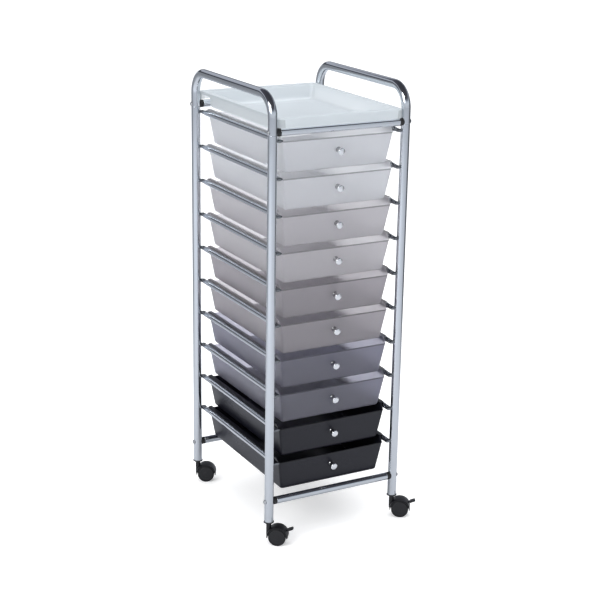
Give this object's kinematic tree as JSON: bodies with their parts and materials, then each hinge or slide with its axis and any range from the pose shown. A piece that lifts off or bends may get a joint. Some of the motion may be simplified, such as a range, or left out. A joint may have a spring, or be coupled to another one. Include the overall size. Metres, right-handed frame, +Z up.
{
  "type": "drawer cart",
  "caption": "Rolling cart: a chromed tube frame with side hoop handles, a lift-off top tray, shallow pull-out drawers graded from white to black, and small swivel casters.",
  "frame": {"origin": "on the floor, at the middle of the whole cart's box", "axes": "+Z up, -Y towards the front with the knobs, +X to the right seen from the front"},
  "size_m": [0.3608, 0.4052, 0.9516],
  "materials": {
    "chromed_tube": "polished chrome",
    "knob_chrome": "polished chrome",
    "bright_steel": "zinc plated",
    "black_plug": "fine matt",
    "tray_white": "translucent frosted white, satin",
    "drawer_frost": "frosted translucent white",
    "drawer_light_grey": "translucent light grey",
    "drawer_mid_grey": "translucent mid grey",
    "drawer_smoke": "dark smoke grey",
    "drawer_black": "gloss black",
    "caster_black": "satin black",
    "wheel_black": "satin black"
  },
  "bodies": {
    "frame": {"left_front_post": "chromed_tube", "left_rear_post": "chromed_tube", "right_front_post": "chromed_tube", "right_rear_post": "chromed_tube", "left_handle": "chromed_tube", "right_handle": "chromed_tube", "left_rungs": "chromed_tube", "right_rungs": "chromed_tube", "top_crossbars": "chromed_tube", "bottom_crossbars": "chromed_tube", "crossbar_plugs": "black_plug", "crossbar_bolts": "bright_steel", "caster_sockets": "black_plug", "caster_stems": "bright_steel"},
    "tray": {"top_tray": "tray_white"},
    "drawer_1": {"drawer_1": "drawer_frost", "knob_1": "knob_chrome", "knob_screw_1": "bright_steel"},
    "drawer_2": {"drawer_2": "drawer_frost", "knob_2": "knob_chrome", "knob_screw_2": "bright_steel"},
    "drawer_3": {"drawer_3": "drawer_light_grey", "knob_3": "knob_chrome", "knob_screw_3": "bright_steel"},
    "drawer_4": {"drawer_4": "drawer_light_grey", "knob_4": "knob_chrome", "knob_screw_4": "bright_steel"},
    "drawer_5": {"drawer_5": "drawer_mid_grey", "knob_5": "knob_chrome", "knob_screw_5": "bright_steel"},
    "drawer_6": {"drawer_6": "drawer_mid_grey", "knob_6": "knob_chrome", "knob_screw_6": "bright_steel"},
    "drawer_7": {"drawer_7": "drawer_smoke", "knob_7": "knob_chrome", "knob_screw_7": "bright_steel"},
    "drawer_8": {"drawer_8": "drawer_smoke", "knob_8": "knob_chrome", "knob_screw_8": "bright_steel"},
    "drawer_9": {"drawer_9": "drawer_black", "knob_9": "knob_chrome", "knob_screw_9": "bright_steel"},
    "drawer_10": {"drawer_10": "drawer_black", "knob_10": "knob_chrome", "knob_screw_10": "bright_steel"},
    "left_front_swivel": {"left_front_caster_hood": "caster_black", "left_front_caster_axle": "bright_steel"},
    "left_front_wheels": {"left_front_caster_wheels": "wheel_black"},
    "right_front_swivel": {"right_front_caster_hood": "caster_black", "right_front_caster_axle": "bright_steel"},
    "right_front_wheels": {"right_front_caster_wheels": "wheel_black"},
    "left_rear_swivel": {"left_rear_caster_hood": "caster_black", "left_rear_caster_axle": "bright_steel"},
    "left_rear_wheels": {"left_rear_caster_wheels": "wheel_black"},
    "right_rear_swivel": {"right_rear_caster_hood": "caster_black", "right_rear_caster_axle": "bright_steel"},
    "right_rear_wheels": {"right_rear_caster_wheels": "wheel_black"},
    "left_front_brake": {"left_front_brake_lever": "caster_black"},
    "right_front_brake": {"right_front_brake_lever": "caster_black"}
  },
  "joints": [
    {"name": "tray_lift", "type": "slide", "parent": "frame", "child": "tray", "axis": [0, 0, 1], "range_m": [0, 0.06]},
    {"name": "drawer_1_slide", "type": "slide", "parent": "frame", "child": "drawer_1", "axis": [0, -1, 0], "range_m": [0, 0.24]},
    {"name": "drawer_2_slide", "type": "slide", "parent": "frame", "child": "drawer_2", "axis": [0, -1, 0], "range_m": [0, 0.24]},
    {"name": "drawer_3_slide", "type": "slide", "parent": "frame", "child": "drawer_3", "axis": [0, -1, 0], "range_m": [0, 0.24]},
    {"name": "drawer_4_slide", "type": "slide", "parent": "frame", "child": "drawer_4", "axis": [0, -1, 0], "range_m": [0, 0.24]},
    {"name": "drawer_5_slide", "type": "slide", "parent": "frame", "child": "drawer_5", "axis": [0, -1, 0], "range_m": [0, 0.24]},
    {"name": "drawer_6_slide", "type": "slide", "parent": "frame", "child": "drawer_6", "axis": [0, -1, 0], "range_m": [0, 0.24]},
    {"name": "drawer_7_slide", "type": "slide", "parent": "frame", "child": "drawer_7", "axis": [0, -1, 0], "range_m": [0, 0.24]},
    {"name": "drawer_8_slide", "type": "slide", "parent": "frame", "child": "drawer_8", "axis": [0, -1, 0], "range_m": [0, 0.24]},
    {"name": "drawer_9_slide", "type": "slide", "parent": "frame", "child": "drawer_9", "axis": [0, -1, 0], "range_m": [0, 0.24]},
    {"name": "drawer_10_slide", "type": "slide", "parent": "frame", "child": "drawer_10", "axis": [0, -1, 0], "range_m": [0, 0.24]},
    {"name": "left_front_swivel_turn", "type": "hinge", "parent": "frame", "child": "left_front_swivel", "pos_m": [-0.16769, -0.16711, 0.046], "axis": [0, 0, 1], "continuous": true},
    {"name": "left_front_wheels_roll", "type": "hinge", "parent": "left_front_swivel", "child": "left_front_wheels", "pos_m": [-0.15232, -0.17828, 0.0188], "axis": [0.5878, 0.809, 0], "continuous": true},
    {"name": "right_front_swivel_turn", "type": "hinge", "parent": "frame", "child": "right_front_swivel", "pos_m": [0.13431, -0.16711, 0.046], "axis": [0, 0, 1], "continuous": true},
    {"name": "right_front_wheels_roll", "type": "hinge", "parent": "right_front_swivel", "child": "right_front_wheels", "pos_m": [0.15015, -0.1776, 0.0188], "axis": [0.5519, 0.8339, 0], "continuous": true},
    {"name": "left_rear_swivel_turn", "type": "hinge", "parent": "frame", "child": "left_rear_swivel", "pos_m": [-0.16769, 0.18889, 0.046], "axis": [0, 0, 1], "continuous": true},
    {"name": "left_rear_wheels_roll", "type": "hinge", "parent": "left_rear_swivel", "child": "left_rear_wheels", "pos_m": [-0.15107, 0.17967, 0.0188], "axis": [0.4848, 0.8746, 0], "continuous": true},
    {"name": "right_rear_swivel_turn", "type": "hinge", "parent": "frame", "child": "right_rear_swivel", "pos_m": [0.13431, 0.18889, 0.046], "axis": [0, 0, 1], "continuous": true},
    {"name": "right_rear_wheels_roll", "type": "hinge", "parent": "right_rear_swivel", "child": "right_rear_wheels", "pos_m": [0.1506, 0.1791, 0.0188], "axis": [0.515, 0.8572, 0], "continuous": true},
    {"name": "left_front_brake_press", "type": "hinge", "parent": "left_front_swivel", "child": "left_front_brake", "pos_m": [-0.14141, -0.18621, 0.03027], "axis": [0.5878, 0.809, 0], "range_deg": [0, 18]},
    {"name": "right_front_brake_press", "type": "hinge", "parent": "right_front_swivel", "child": "right_front_brake", "pos_m": [0.16139, -0.18504, 0.03027], "axis": [0.5519, 0.8339, 0], "range_deg": [0, 18]}
  ]
}
